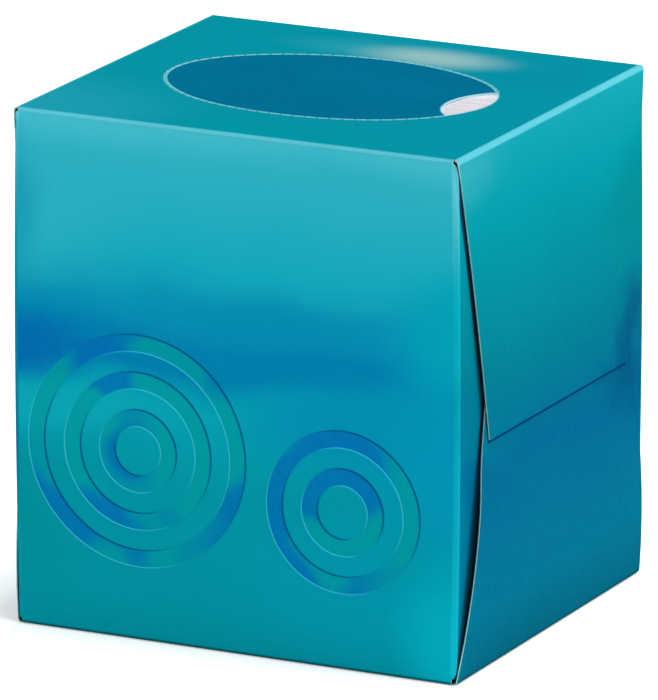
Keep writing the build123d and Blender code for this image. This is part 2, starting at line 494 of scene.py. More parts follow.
def tube_lattice(rings, thumb):
    """The outline of the tube laid out flat, and the lattice inside it."""
    sides = wall_end - np.array(side_rows)
    across = np.concatenate([-sides, spread(-wall_end + 5, wall_end - 5, pitch), sides[::-1]])
    folds = [np.linspace(start, end, fold_rows + 1) for start, end in tube.bends]
    tail = spread(tube.bends[-1][1], tube.length, pitch)
    along = np.unique(np.round(np.concatenate([[0], *end_rows(), *folds, tail]), 6))
    width_marks = across[1:-1]
    outline = [(s, -wall_end) for s in along] + [(tube.length, w) for w in width_marks]
    outline += [(s, wall_end) for s in along[::-1]] + [(0, w) for w in width_marks[::-1]]
    oval = lambda g: np.hypot((g[:, 0] - top_start - flat_y) / oval_radii[1], g[:, 1] / oval_radii[0])
    tests = [lambda g, c=c, r=r: np.abs(np.hypot(*(g - c).T) - r) < ribbon_margin for c, r in rings]
    tests.append(lambda g: np.abs(g[:, 1]) > wall_end - 0.1)
    tests.append(lambda g: (g[:, 0] < 0.1) | (g[:, 0] > tube.length - 0.1))
    tests.append(lambda g: (np.abs(oval(g) - 1) < 0.05) | inside(g, to_top(thumb * (1.02, 1.02))))
    return outline, lattice(along, across, tests)


def ribbon_marks(flat, rings):
    """How far each point is raised by a ribbon, and the painted highlight on a ribbon's rim there, above 0,
    and its painted shade, below 0.
    """
    ribbon, rim = np.zeros(len(flat)), np.zeros(len(flat))
    for centre, radius in rings:
        out = flat - centre
        away = np.hypot(*out.T) - radius
        ribbon = np.maximum(ribbon, 1 - smooth(np.abs(away), ribbon_half - ribbon_flank, ribbon_half))
        facing = out @ rim_light_facing / np.maximum(np.hypot(*out.T), 0.1) * np.sign(away)
        facing *= np.where(flat[:, 0] < back_start, 1, -1)
        rim += facing * (1 - smooth(np.abs(np.abs(away) - rim_middle), *rim_line))
    return ribbon, rim


def cut_highlight_marks(flat, slits, thumb):
    """Where the painted highlight on the rims of the slits and of the thumb hole lies: 1 on a rim, fading to
    0 beside it.
    """
    cut = np.zeros(len(flat))
    top = flat[:, ::-1] - (0, top_start + flat_y)
    for x, y, turned in slits:
        local = (top - (x, y)) @ np.array([[cos(turned), -sin(turned)], [sin(turned), cos(turned)]])
        gap = np.max(np.abs(local) - np.array(slit_size) / 2, 1)
        cut = np.maximum(cut, 1 - np.clip(gap / slit_highlight_reach, 0, 1))
    for corner in thumb:
        cut = np.maximum(cut, np.hypot(*(top - corner).T) < 1e-3)
    return cut


def tube_leaf(mesh):
    """The four panels and the glue flap, with the emboss, the slits and the thumb hole."""
    rings = tube_rings()
    slits = list(zip(*perforation()))
    thumb = thumb_outline()
    thumb_rim = thumb.mean(0) + (thumb - thumb.mean(0)) * thumb_rim_growth
    holes = [to_top(slit_loop(*slit, 0)) for slit in slits] + [to_top(thumb)]
    lines = [loop for centre, radius in rings for loop in ring_loops(centre, radius)]
    lines += [to_top(slit_loop(*slit, slit_highlight_reach)) for slit in slits] + [to_top(thumb_rim)]
    outline, points = tube_lattice(rings, thumb)
    flat, faces = triangulate(outline, holes, lines, points)
    s, w = flat.T
    y, z, heading = tube.at(s)
    ribbon, rim = ribbon_marks(flat, rings)
    outward = np.stack([0 * s, -np.sin(heading), np.cos(heading)], 1)
    centre = np.stack([w, y, z], 1) + outward * (ribbon * emboss_height)[:, None]
    # The lid's two folds also get the mark for their wear and painted highlight
    crease = [1 - smooth(np.abs(s - (start + end) / 2), *crease_line) for start, end in tube.bends[1:3]]
    beside = lambda along, rows: (along > rows[0] - 1e-6) & (along < rows[-1] + 1e-6)
    shared_rows = end_rows()
    lid_or_floor = beside(s, shared_rows[0]) | beside(s, shared_rows[2])
    wear_and_highlight = fold_wear_and_highlight(wall_end - np.abs(w) + dust_fold_inset * lid_or_floor)
    wear_and_highlight = np.maximum(np.max(crease, 0), wear_and_highlight)
    joined = lambda mid: (np.abs(mid[:, 1]) > wall_end - 1e-4) & np.any(
        [beside(mid[:, 0], rows) for rows in shared_rows], 0)
    cut = cut_highlight_marks(flat, slits, thumb)
    shell(mesh, flat, faces, centre, outward, board, joined, fold=wear_and_highlight, ribbon=ribbon, rim=rim, cut=cut)


def end_rows():
    """Lengths along the tube where its ends meet the major flaps and the dust flaps."""
    bottom = close_ended(half_depth - flat_y, half_depth + flat_y)
    front = close_ended(front_start + fold_low - fold_radius, front_start + fold_high - fold_radius)
    top = close_ended(top_start, top_start + 2 * flat_y)
    back = close_ended(back_start, back_start + fold_high - fold_low)
    return bottom, front, top, back


def flap_leaf(mesh, track, limits, place, turn, first_row, mirrors, mark=None):
    """A flap between two edges that the limits give at each length along its track."""
    along = rows(track, 0, track.length, track.bends)
    low, high = limits(along)
    share = (first_row - first_row[0]) / (first_row[-1] - first_row[0])
    across = low[:, None] + (high - low)[:, None] * share
    flat = np.stack([np.repeat(along, len(share)), across.ravel()], 1)
    ids = np.arange(len(flat)).reshape(across.shape)
    a, b, c, d = [corner.ravel() for corner in (ids[:-1, :-1], ids[1:, :-1], ids[1:, 1:], ids[:-1, 1:])]
    faces = np.concatenate([np.stack([a, b, c], 1), np.stack([a, c, d], 1)])
    p, q, heading = track.at(flat[:, 0])
    centre = place(p, q, flat[:, 1])
    out = heading + turn
    outward = place(np.cos(out), np.sin(out), 0 * out)
    wear_and_highlight = fold_wear_and_highlight(from_bends(flat[:, 0], track.bends))
    joined = lambda mid: mid[:, 0] < 1e-4
    marks = {mark: np.ones(len(flat))} if mark else {}
    # The dust flaps carry the mask of the painted shadow beside the major flaps' edges
    if mark == "tuck":
        marks[mark] += np.clip(gap_shadow_depth(bowed(centre + outward * middle)) * 0.2, -0.8, 1)
    shell(mesh, flat, faces, centre, outward, board, joined, mirrors=mirrors, fold=wear_and_highlight, **marks)


def major_limits(track, fold_level, free_level):
    """Half the width of a major flap, which tapers from its fold to its free edge."""
    def limits(along):
        level = track.at(along)[1]
        t = np.clip((level - fold_level) / (free_level - fold_level), 0, 1)
        half = fold_half_width + (edge_half_width - fold_half_width) * t
        half = np.minimum(half, flat_y + (fold_half_width - flat_y) * along / dust_fold_inset)
        return -half, half
    return limits


def dust_limits(along):
    """The lower and upper edges of a dust flap, cut back just round its fold."""
    y, heading = dust.at(along)[1:]
    depth = y - middle * np.cos(heading) + half_depth
    corner = np.clip((depth - dust_relief_start) / (dust_relief_end - dust_relief_start), 0, 1)
    run = np.clip((depth - dust_relief_end) / (dust_taper_run - dust_relief_end), 0, 1) * dust_taper
    low = fold_low + (dust_relief - fold_low) * corner + run
    high = fold_high + (box_height - dust_relief - fold_high) * corner - run
    return low, high


def carton_piece(materials):
    """The carton as one welded sheet."""
    mesh = Mesh()
    tube_leaf(mesh)
    bottom, front, top = end_rows()[:3]
    across = lambda p, q, w: np.stack([p, w, q], 1)
    upright = lambda p, q, w: np.stack([p, q, w], 1)
    both = ((1, 1), (-1, 1))
    upper_limits = major_limits(upper, box_height - fold_radius, upper_free)
    lower_limits = major_limits(lower, fold_radius, flap_length)
    flap_leaf(mesh, upper, upper_limits, across, pi / 2, top - top_start - flat_y, both)
    # The lower flaps carry the mask of the painted shadow under the upper flaps' free edges
    flap_leaf(mesh, lower, lower_limits, across, -pi / 2, (half_depth - bottom)[::-1], both, "lap")
    four = ((1, 1), (-1, 1), (1, -1), (-1, -1))
    flap_leaf(mesh, dust, dust_limits, upright, -pi / 2, front - front_start + fold_radius, four, "tuck")
    return mesh.piece("carton_board", materials)


def film_piece(material):
    """The film, stretched under the oval, with small creases and its slit."""
    half_x, half_y = film_size[0] / 2, film_size[1] / 2
    xs, ys = spread(-half_x, half_x, film_pitch), spread(-half_y, half_y, film_pitch)
    outline = [(x, -half_y) for x in xs[:-1]] + [(half_x, y) for y in ys[:-1]]
    outline += [(x, half_y) for x in xs[:0:-1]] + [(-half_x, y) for y in ys[:0:-1]]
    end, r = film_slit[0] / 2 - film_slit[1] / 2, film_slit[1] / 2
    angles = np.linspace(-pi / 2, pi / 2, 7)
    tip = np.stack([end + r * np.cos(angles), r * np.sin(angles)], 1)
    run = spread(-end, end, 1.2)[1:-1]
    slit = np.concatenate([tip, np.stack([run[::-1], 0 * run + r], 1), -tip,
                           np.stack([run, 0 * run - r], 1)])
    off = [lambda g: (np.abs(g[:, 0]) < end + 0.6) & (np.abs(g[:, 1]) < 0.8),
           lambda g: (np.abs(g[:, 0]) > half_x - 0.1) | (np.abs(g[:, 1]) > half_y - 0.1)]
    flat, faces = triangulate(outline, [slit], [], lattice(xs, ys, off))
    x, y = flat.T
    free = 1 - smooth(np.hypot(x / oval_radii[0], y / oval_radii[1]), 0.5, 0.86)
    crease = 0.5 + 0.5 * np.sin(x / 3.1 + 1.7 * np.sin(y / 9)) * np.cos(y / 5.3 + x / 17)
    z = box_height - board - film_thickness / 2 - free * (0.35 * crease + 0.25)
    centre = np.stack([x, y, z], 1)
    mesh = Mesh()
    up = np.tile((0.0, 0.0, 1.0), (len(flat), 1))
    none = lambda mid: np.zeros(len(mid), bool)
    shell(mesh, flat, faces, centre, up, film_thickness, none, slots=(0, 0, 0))
    return mesh.piece("film_sheet", [material], weld=False)


def clip_path():
    """X and Z of each layer's two faces along the arch, from one foot over the top to the other."""
    low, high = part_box("tissue_stack")
    outer = high.x / metre
    inner = outer - clip_thickness
    floor_level = low.z / metre
    centre_level = high.z / metre - outer
    depth = np.repeat(np.linspace(0, 1, clip_layers + 1), 2)[1:-1]
    radius = inner + clip_thickness * depth
    rise = pi / 2 * clip_thickness
    leg_end = floor_level + rise * np.clip((radius - inner - clip_foot) / (clip_thickness - clip_foot), 0, 1)
    leg = lambda side, share: (side * radius, leg_end + (centre_level - leg_end) * share)
    shares = np.arange(leg_steps + 1) / leg_steps
    turns = np.linspace(0, pi, arch_steps + 1)
    path = [leg(1, share) for share in shares[:-1]]
    path += [(radius * np.cos(t), centre_level + radius * np.sin(t)) for t in turns]
    path += [leg(-1, 1 - share) for share in shares[1:]]
    return np.array(path).transpose(1, 0, 2)


def skirt(near, far, ids, far_ids, first, flip):
    """Vertices and faces that carry one border of the clip's front across to its back."""
    vertices, rows, faces = [], [ids], []
    for k in range(1, clip_spans):
        share = k / clip_spans
        wave = 0.12 * np.sin(share * 9 + np.arange(len(ids)) / 5) * sin(pi * share)
        vertices.append(near + (far - near) * share + wave[:, None] * (0, 0, 0.6))
        rows.append(first + (k - 1) * len(ids) + np.arange(len(ids)))
    for row, following in zip(rows, rows[1:] + [far_ids]):
        for i in range(len(ids) - 1):
            quad = (row[i], row[i + 1], following[i + 1], following[i])
            faces.append(quad[::-1] if flip else quad)
    return np.concatenate(vertices), faces


def tissue_piece(material):
    """The clip of interfolded tissues: layers that follow the arch, a little uneven at the ends."""
    x, z = clip_path()
    steps, width = x.shape
    number = np.repeat(np.arange(clip_layers), 2)
    s = np.arange(steps)[:, None]
    uneven = 0.35 * np.sin(number * 2.4) + 0.25 * np.sin(number * 0.7 + s / 9) + 0.1 * np.sin(s / 3.0)
    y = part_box("tissue_stack")[1].y / metre - clip_inset + uneven
    front_side = np.stack([x, -y, z], 2).reshape(-1, 3)
    back_side = np.stack([x, y, z], 2).reshape(-1, 3)
    count = steps * width
    grid = np.arange(count).reshape(steps, width)
    face = np.stack([grid[:-1, :-1], grid[1:, :-1], grid[1:, 1:], grid[:-1, 1:]], 2).reshape(-1, 4)
    faces = face.tolist() + (face[:, ::-1] + count).tolist()
    vertices = [front_side, back_side]
    borders = ((grid[:, -1], True), (grid[:, 0], False), (grid[0, :], True), (grid[-1, :], False))
    for ids, flip in borders:
        first = sum(len(part) for part in vertices)
        more, sides = skirt(front_side[ids], back_side[ids], ids, ids + count, first, flip)
        vertices.append(more)
        faces += sides
    mesh = Mesh()
    mesh.add(np.concatenate(vertices), faces, [0] * len(faces))
    piece = mesh.piece("tissue_clip", [material])
    form = bmesh.new()
    form.from_mesh(piece.data)
    bmesh.ops.recalc_face_normals(form, faces=form.faces)
    form.to_mesh(piece.data)
    form.free()
    return piece


# Materials

def srgb(red, green, blue):
    """A colour as it looks on a screen, 0 to 255, as the shader's linear numbers."""
    levels = np.array([red, green, blue]) / 255
    linear = np.where(levels <= 0.04045, levels / 12.92, ((levels + 0.055) / 1.055) ** 2.4)
    return (*linear.tolist(), 1.0)


class Graph:
    """A material's node tree, with short calls for the nodes that it needs."""

    def __init__(self, name, **settings):
        self.material = bpy.data.materials.new(name)
        self.material.use_nodes = True
        self.tree = self.material.node_tree
        self.shader = self.tree.nodes["Principled BSDF"]
        for socket, value in settings.items():
            self.shader.inputs[socket.replace("_", " ")].default_value = value
        self.place = self.node("ShaderNodeTexCoord").outputs["Object"]

    def node(self, kind, inputs=None, **settings):
        made = self.tree.nodes.new(kind)
        for name, value in settings.items():
            setattr(made, name, value)
        for name, value in (inputs or {}).items():
            if isinstance(value, bpy.types.NodeSocket):
                self.tree.links.new(value, made.inputs[name])
            else:
                made.inputs[name].default_value = value
        return made

    def math(self, operation, a, b=0.0, c=0.0):
        return self.node("ShaderNodeMath", {0: a, 1: b, 2: c}, operation=operation).outputs[0]

    def vector(self, operation, a, b=(0.0, 0.0, 0.0)):
        made = self.node("ShaderNodeVectorMath", {0: a, 1: b}, operation=operation)
        return made.outputs["Value" if operation in ("LENGTH", "DOT_PRODUCT") else 0]

    def ramp(self, value, low, high, start=0.0, end=1.0):
        inputs = {"Value": value, "From Min": low, "From Max": high, "To Min": start, "To Max": end}
        return self.node("ShaderNodeMapRange", inputs, interpolation_type="SMOOTHSTEP").outputs[0]

    def mix(self, factor, a, b):
        return self.node("ShaderNodeMix", {0: factor, 6: a, 7: b}, data_type="RGBA").outputs[2]

    def split(self, vector):
        return self.node("ShaderNodeSeparateXYZ", {0: vector}).outputs

    def bands(self, level, heights, light):
        """Colours that follow one another with height."""
        made = self.node("ShaderNodeValToRGB", {"Fac": level})
        marks = made.color_ramp.elements
        marks[0].color = ink(*heights[0][1], light)
        marks[-1].color = ink(*heights[-1][1], light)
        for height, colour in heights[1:-1]:
            marks.new(height / box_height).color = ink(*colour, light)
        return made.outputs["Color"]

    def noise(self, place, scale, detail=2.0, rough=0.5, output=0):
        inputs = {"Vector": place, "Scale": scale, "Detail": detail, "Roughness": rough}
        return self.node("ShaderNodeTexNoise", inputs).outputs[output]

    def value(self, name):
        return self.node("ShaderNodeAttribute", attribute_name=name).outputs["Fac"]

    def paint(self, colour):
        self.tree.links.new(colour, self.shader.inputs["Base Color"])

    def dull(self, roughness):
        self.tree.links.new(roughness, self.shader.inputs["Roughness"])

    def bump(self, height, distance, strength=1.0):
        inputs = {"Height": height, "Distance": distance, "Strength": strength}
        normal = self.node("ShaderNodeBump", inputs).outputs[0]
        self.tree.links.new(normal, self.shader.inputs["Normal"])


# How much brighter than their own colour the studio's light makes the box's faces
front_light = 1.26
side_light = 1.57
top_light = 1.43


def ink(red, green, blue, light=front_light):
    """A print colour that looks like this on a screen, 0 to 255, under a light."""
    return (*[level / light for level in srgb(red, green, blue)[:3]], 1.0)


# The print's colours by height in millimetres, on the front and back and on the sides. Colours
# in these tables are levels from 0 to 255, as they look under the light of their own faces. The
# front's paler top is partly print and partly a painted sheen, and the sides' darker colours are
# partly print and partly painted shade.
panel_heights = [
    (0, (0, 143, 159)),  # green foot
    (40, (0, 145, 160)),  # top of the foot
    (58, (4, 158, 175)),  # turquoise pool
    (62, (2, 150, 173)),  # top of the pool
    (67, (0, 125, 171)),  # foot of the blue band
    (74, (0, 125, 172)),  # top of the blue band
    (93, (18, 166, 186)),  # pale turquoise above it
    # The two palest stops below are lighter print with a painted sheen over it
    (118, (46, 175, 192)),  # paler under the fold
    (125, (64, 184, 200)),  # the fold at the lid
]
# The sides' colours are darker than the front's, partly from their print and partly as painted shade
side_heights = [
    (0, (0, 108, 134)),  # deep foot
    (16, (0, 120, 153)),  # top of the foot
    (28, (0, 118, 154)),  # foot of the blue band
    (48, (0, 108, 152)),  # middle of the blue band
    (72, (0, 130, 151)),  # green above it
    (108, (0, 160, 174)),  # turquoise upper part
    (125, (22, 171, 185)),  # the fold at the lid
]

# Soft oval washes over them: what each one is, its centre and radii in millimetres, how far out
# it stays full, its colour and its strength
panel_washes = [
    # The pale left of the upper front is lighter print with a painted sheen over it
    ("pale left of the upper front", (-60, -51, 100), (40, 12, 20), 0.3, (48, 174, 190), 0.5),
    ("deep upper left edge", (-61, -51, 103), (14, 12, 30), 0.2, (18, 149, 177), 0.75),
    ("blue band's left end", (-62, -51, 67), (34, 12, 9), 0.3, (0, 103, 169), 1.0),
    ("blue drift to the right", (40, -51, 57), (44, 12, 15), 0.35, (0, 139, 174), 0.95),
    ("upper edge of the blue band", (8, -51, 82), (46, 12, 8), 0.2, (0, 134, 172), 0.65),
    ("turquoise pool", (-48, -51, 54), (40, 12, 7), 0.3, (8, 162, 177), 0.9),
    ("teal foot", (-58, -51, 26), (26, 12, 24), 0.3, (0, 139, 149), 0.85),
    ("middle of the foot", (30, -51, 20), (34, 12, 22), 0.2, (0, 147, 169), 0.9),
    ("clear right edge", (62, -51, 80), (26, 4, 20), 0.25, (0, 160, 181), 0.9),
    ("blue right edge", (64, -51, 50), (34, 4, 27), 0.4, (0, 146, 179), 0.9),
    ("bright corner", (57, -51, 8), (17, 5, 26), 0.2, (0, 168, 186), 0.9),
    ("blue band of the back", (18, 51, 68), (62, 12, 13), 0.3, (0, 108, 168), 0.9),
    ("turquoise pool of the back", (-30, 51, 54), (36, 12, 10), 0.3, (8, 160, 174), 0.8),
    ("teal foot of the back", (30, 51, 14), (50, 12, 24), 0.3, (0, 136, 149), 0.8),
]
side_washes = [
    ("pale corner of the side", (58, -50, 124), (6, 30, 14), 0.0, (76, 190, 204), 0.55),
    ("green of the side's upper end", (58, 50, 92), (6, 34, 20), 0.2, (0, 140, 148), 0.8),
    ("paler near part of the side", (58, -40, 60), (6, 26, 16), 0.2, (0, 124, 154), 0.7),
    # The near strip of the side is partly print and partly painted light, lifting the shade beside the lower
    # flap's edge
    ("near strip of the side", (58, -50, 34), (6, 6, 40), 0.4, (0, 128, 162), 0.85),
    ("deep end of the side", (58, 56, 60), (6, 40, 22), 0.25, (0, 80, 127), 0.95),
]
left_washes = [
    ("blue of the left side", (-58, 4, 62), (6, 50, 15), 0.3, (0, 102, 154), 0.85),
    ("green of the left side", (-58, 24, 98), (6, 46, 20), 0.2, (0, 150, 160), 0.7),
]

# The lid's ink and its washes, the centre and radii of the pale patch behind the oval, and the
# radii of the oval's own print
lid_washes = [
    ("pale corner of the lid", (-64, -52, 125), (56, 44, 60), 0.3, (30, 158, 178), 0.9),
    ("haze behind the oval", (6, 36, 125), (38, 11, 60), 0.2, (52, 166, 184), 0.6),
    ("green near the lid's front", (4, -50, 125), (50, 16, 60), 0.1, (0, 149, 164), 0.85),
    ("far corner of the lid", (40, 30, 125), (20, 24, 60), 0.2, (4, 141, 164), 0.7),
]
lid_ink = ink(4, 147, 165, top_light)
pale_centre = (10, 35, 0)
pale_radii = (25, 11, 1)
oval_print = (40.6, 28.6, 1)


def washed(graph, colour, place, spots, light):
    """A colour with soft oval washes over it, one after another."""
    for name, centre, radii, full, tint, strength in spots:
        away = graph.vector("LENGTH", graph.vector("DIVIDE", graph.vector("SUBTRACT", place, centre), radii))
        share = graph.ramp(away, full, 1.1, strength, 0.0)
        colour = graph.mix(share, colour, ink(*tint, light))
        colour.node.label = name
    return colour


def painted_gap_shadows(graph, y, z):
    """Where the painted shadows beside the slanted edges and under the upper flap's free edge are."""
    side = graph.ramp(graph.value("tuck"), 0.97, 1.03)
    below = graph.ramp(z, upper_free - 1.1, upper_free - 0.8)
    out = graph.math("ABSOLUTE", y)
    behind = graph.ramp(out, edge_half_width - 0.3, edge_half_width + 0.1, 1.0, 0.0)
    below = graph.math("MULTIPLY", below, behind)
    return side, graph.math("MULTIPLY", graph.value("lap"), below)


def ground(graph, mm, on_top):
    """The print's colours by height, with their washes and the lid's pale patch; the front's paler top
    carries a painted sheen, and the sides a painted shade.
    """
    drift = graph.vector("SUBTRACT", graph.noise(mm, 0.03, 3.0, 0.5, 1), (0.5, 0.5, 0.5))
    soft = graph.vector("ADD", mm, graph.vector("MULTIPLY", drift, (20, 0, 14)))
    level = graph.math("DIVIDE", graph.split(soft)[2], box_height)
    on_side = graph.ramp(graph.math("ABSOLUTE", graph.split(mm)[0]), wall_end, dust_fold_x)
    panel = graph.bands(level, panel_heights, front_light)
    panel = washed(graph, panel, soft, panel_washes, front_light)
    side = graph.bands(level, side_heights, side_light)
    side = washed(graph, side, soft, side_washes, side_light)
    side = washed(graph, side, soft, left_washes, front_light)
    lid = washed(graph, lid_ink, soft, lid_washes, top_light)
    colour = graph.mix(on_top, graph.mix(on_side, panel, side), lid)
    away = graph.vector("MULTIPLY", graph.vector("SUBTRACT", mm, pale_centre), (1, 1, 0))
    away = graph.vector("LENGTH", graph.vector("DIVIDE", away, pale_radii))
    patch = graph.math("MULTIPLY", graph.ramp(away, 0.1, 1.0, 0.85, 0.0), on_top)
    return graph.mix(patch, colour, ink(158, 196, 194, top_light))


def with_ribbons(graph, mm, colour):
    """Ribbons that drift between green and blue."""
    sway = graph.ramp(graph.noise(mm, 0.045, 1.0), 0.44, 0.58)
    tint = graph.mix(sway, ink(0, 148, 153), ink(0, 103, 173))
    return graph.mix(graph.math("MULTIPLY", graph.value("ribbon"), 0.8), colour, tint)


def with_oval(graph, mm, colour, on_top):
    """The tear-out's deep blue, with a painted highlight along its rim."""
    reach = graph.vector("DIVIDE", graph.vector("MULTIPLY", mm, (1, 1, 0)), oval_print)
    reach = graph.vector("LENGTH", reach)
    # Painted highlight along the oval's perforation line
    rim = graph.math("MULTIPLY", graph.ramp(reach, 0.99, 1.0), graph.ramp(reach, 1.01, 1.02, 1, 0))
    colour = graph.mix(graph.math("MULTIPLY", rim, on_top), colour, ink(60, 184, 196, top_light))
    cloud = graph.ramp(graph.noise(mm, 0.04, 2.0), 0.35, 0.65)
    deep = graph.mix(cloud, ink(0, 111, 148, top_light), ink(0, 107, 145, top_light))
    within = graph.math("MULTIPLY", graph.ramp(reach, 0.993, 1.0, 1, 0), on_top)
    return graph.mix(within, colour, deep)


def with_flecks(graph, mm, grain, colour):
    """Faint grain and flecks of the coated board."""
    fleck = graph.ramp(graph.noise(mm, 1.3, 2.0, 0.5), 0.6, 0.76, 0.0, 0.05)
    colour = graph.mix(graph.ramp(grain, 0.3, 0.75, 0.0, 0.04), colour, ink(30, 185, 205))
    return graph.mix(fleck, colour, ink(0, 92, 120))


def with_painted_light_and_shadows(graph, mm, colour):
    """Painted highlights and painted shade along the ribbons' rims, and painted shadows beside and under the
    major flaps.
    """
    y, z = graph.split(mm)[1:]
    rim = graph.value("rim")
    dark = graph.math("MULTIPLY", rim, -1.0)
    # Painted highlight on the ribbons' rims that face the set direction, painted shade on the rims that face
    # away
    colour = graph.mix(graph.ramp(rim, 0.1, 0.9, 0.0, 0.6), colour, ink(64, 190, 210))
    colour = graph.mix(graph.ramp(dark, 0.1, 0.8, 0.0, 0.75), colour, ink(0, 66, 134))
    beside, below = painted_gap_shadows(graph, y, z)
    # Painted shadow on the dust flaps beside the major flaps' slanted edges
    colour = graph.mix(beside, colour, srgb(4, 62, 88))
    # Painted shadow on the lower flap just under the upper flap's free edge
    return graph.mix(below, colour, ink(0, 62, 118, side_light))


def with_wear_and_painted_light(graph, mm, colour):
    """Folds made lighter, partly by wear and partly by a painted highlight, most at the lid and near the
    floor; a painted shade along the foot; and a painted highlight along the cuts.
    """
    x, _, z = graph.split(mm)
    # The folds are lighter partly from wear and partly from a painted highlight, strongest on the right-hand
    # folds, at the lid and near the floor
    right = graph.ramp(x, -45.0, -20.0, 0.2, 1.0)
    high = graph.ramp(z, 121.0, 123.5, 0.2, 1.0)
    fold = graph.math("MULTIPLY", graph.value("fold"), graph.math("MAXIMUM", right, high))
    fold = graph.math("MULTIPLY", fold, graph.ramp(z, 1.2, 3.0))
    wear_and_highlight = graph.ramp(graph.noise(mm, 0.06, 2.0), 0.35, 0.65, 0.42, 0.58)
    wear_and_highlight = graph.math("ADD", wear_and_highlight, graph.ramp(z, 14.0, 42.0, 0.25, 0.0))
    colour = graph.mix(graph.math("MULTIPLY", fold, wear_and_highlight), colour, ink(14, 190, 208))
    # Paler still towards the lid: a painted highlight on the folds
    pale = graph.ramp(z, 92.0, 124.6, 0.0, 0.5)
    colour = graph.mix(graph.math("MULTIPLY", fold, pale), colour, ink(124, 210, 224))
    # Painted shade along the floor fold, where the board turns under
    colour = graph.mix(graph.ramp(z, 0.45, 1.15, 0.85, 0.0), colour, srgb(0, 52, 54))
    # Painted highlight along the cut rims of the slits and the thumb hole
    cut = graph.math("MULTIPLY", graph.value("cut"), 0.95)
    return graph.mix(cut, colour, ink(150, 224, 230, top_light))


def print_material():
    """Satin print on coated board: watercolour washes, tinted ribbons with painted light and shade on their
    rims, the oval, folds lighter from wear and a painted highlight, and painted shadows by the flaps.
    """
    graph = Graph("printed_board", Specular_IOR_Level=0.0, Coat_Weight=0.009, Coat_Roughness=0.28)
    scale = {0: graph.place, "Scale": 1 / metre}
    mm = graph.node("ShaderNodeVectorMath", scale, operation="SCALE").outputs[0]
    on_top = graph.ramp(graph.split(mm)[2], fold_high - 0.4, box_height - 0.3)
    grain = graph.noise(graph.vector("MULTIPLY", mm, (1, 1, 0.5)), 0.8, 3.0, 0.6)
    colour = ground(graph, mm, on_top)
    colour = with_ribbons(graph, mm, colour)
    colour = with_oval(graph, mm, colour, on_top)
    colour = with_flecks(graph, mm, grain, colour)
    colour = with_painted_light_and_shadows(graph, mm, colour)
    graph.paint(with_wear_and_painted_light(graph, mm, colour))
    graph.dull(graph.ramp(grain, 0.25, 0.8, 0.36, 0.47))
    fine = graph.math("ADD", graph.noise(mm, 5.0, 2.0), graph.math("MULTIPLY", grain, 1.5))
    graph.bump(fine, 0.000005, 1.0)
    return graph.material


def inner_material():
    """Uncoated grey-white back of the board, with fibres."""
    graph = Graph("plain_board", Specular_IOR_Level=0.2)
    long = graph.vector("MULTIPLY", graph.place, (1, 1, 0.35))
    fibre = graph.noise(long, 900.0, 4.0, 0.65)
    cloud = graph.noise(graph.place, 60.0, 2.0)
    colour = graph.mix(graph.ramp(cloud, 0.3, 0.7), srgb(116, 112, 104), srgb(130, 127, 119))
    colour = graph.mix(graph.ramp(fibre, 0.52, 0.72, 0.0, 0.5), colour, srgb(98, 93, 85))
    graph.paint(colour)
    graph.dull(graph.ramp(fibre, 0.3, 0.7, 0.8, 0.95))
    graph.bump(fibre, 0.00005, 0.7)
    return graph.material


def edge_material():
    """Cut edge of the board: a pale outer ply, dark inner plies that are partly the grey core and
    partly painted shade, and pale all through round the tear-out."""
    graph = Graph("cut_board_edge", Specular_IOR_Level=0.15)
    fibre = graph.noise(graph.place, 2600.0, 3.0, 0.7)
    cloud = graph.noise(graph.place, 260.0, 2.0)
    colour = graph.mix(graph.ramp(fibre, 0.35, 0.65), srgb(124, 190, 186), srgb(160, 216, 208))
    colour = graph.mix(graph.ramp(cloud, 0.45, 0.7, 0.0, 0.15), colour, srgb(140, 132, 116))
    height = graph.split(graph.place)[2]
    # Below the lid the inner plies are darker than the grey core: painted shade of the gaps beside the flaps
    inner = graph.mix(graph.ramp(height, 0.122, 0.1238), srgb(30, 58, 70), srgb(134, 112, 102))
    colour = graph.mix(graph.ramp(graph.value("back"), 0.4, 0.6), colour, inner)
    reach = graph.vector("LENGTH", graph.vector("MULTIPLY", graph.place, (20.0, 26.0, 0.0)))
    colour = graph.mix(graph.ramp(reach, 0.95, 1.0, 1.0, 0.0), colour, srgb(176, 212, 216))
    graph.paint(colour)
    graph.dull(graph.ramp(fibre, 0.3, 0.7, 0.85, 0.97))
    graph.bump(fibre, 0.00006, 0.8)
    return graph.material


def film_material():
    """Thin milky film with faint streaks."""
    graph = Graph("thin_film", Alpha=0.9, IOR=1.48, Specular_IOR_Level=0.4)
    long = graph.vector("MULTIPLY", graph.place, (0.2, 1, 1))
    streak = graph.noise(long, 420.0, 3.0, 0.6)
    graph.paint(graph.mix(graph.ramp(streak, 0.3, 0.7), srgb(211, 210, 216), srgb(224, 222, 228)))
    graph.dull(graph.ramp(streak, 0.3, 0.75, 0.16, 0.3))
    graph.bump(streak, 0.00002, 0.25)
    return graph.material


def tissue_material():
    """Soft tissue paper: creping ridges, loose fibre and faint embossed dots."""
    graph = Graph("tissue_paper", Specular_IOR_Level=0.1, Sheen_Weight=0.3)
    crepe = graph.noise(graph.vector("MULTIPLY", graph.place, (1, 0.25, 1)), 1400.0, 3.0, 0.6)
    cloud = graph.noise(graph.place, 90.0, 3.0)
    colour = graph.mix(graph.ramp(cloud, 0.3, 0.7), srgb(234, 234, 232), srgb(247, 247, 246))
    colour = graph.mix(graph.ramp(crepe, 0.5, 0.75, 0.0, 0.4), colour, srgb(222, 222, 220))
    graph.paint(colour)
    graph.dull(graph.ramp(crepe, 0.3, 0.7, 0.88, 0.98))
    graph.bump(graph.math("ADD", crepe, cloud), 0.00012, 0.8)
    return graph.material


